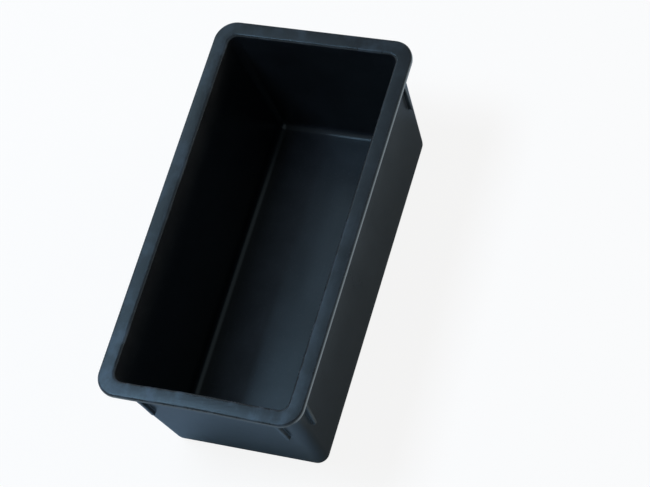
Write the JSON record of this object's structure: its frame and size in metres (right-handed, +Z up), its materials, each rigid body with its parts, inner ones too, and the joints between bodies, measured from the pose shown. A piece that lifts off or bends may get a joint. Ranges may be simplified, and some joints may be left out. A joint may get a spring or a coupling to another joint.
{
  "type": "pullman loaf pan",
  "caption": "One-piece black composite loaf pan: drafted rectangular trough with rounded corners, flat rim all round and stacking lugs under the rim.",
  "frame": {"origin": "middle of the footprint, on the plane the pan stands on", "axes": "+Z up out of the open mouth, +X along the pan's length, +Y across its width"},
  "size_m": [0.215, 0.11, 0.0865],
  "materials": {
    "pan_moulding": "satin, fine moulded grain"
  },
  "bodies": {
    "root": {"pan_moulding": "pan_moulding"}
  },
  "joints": []
}
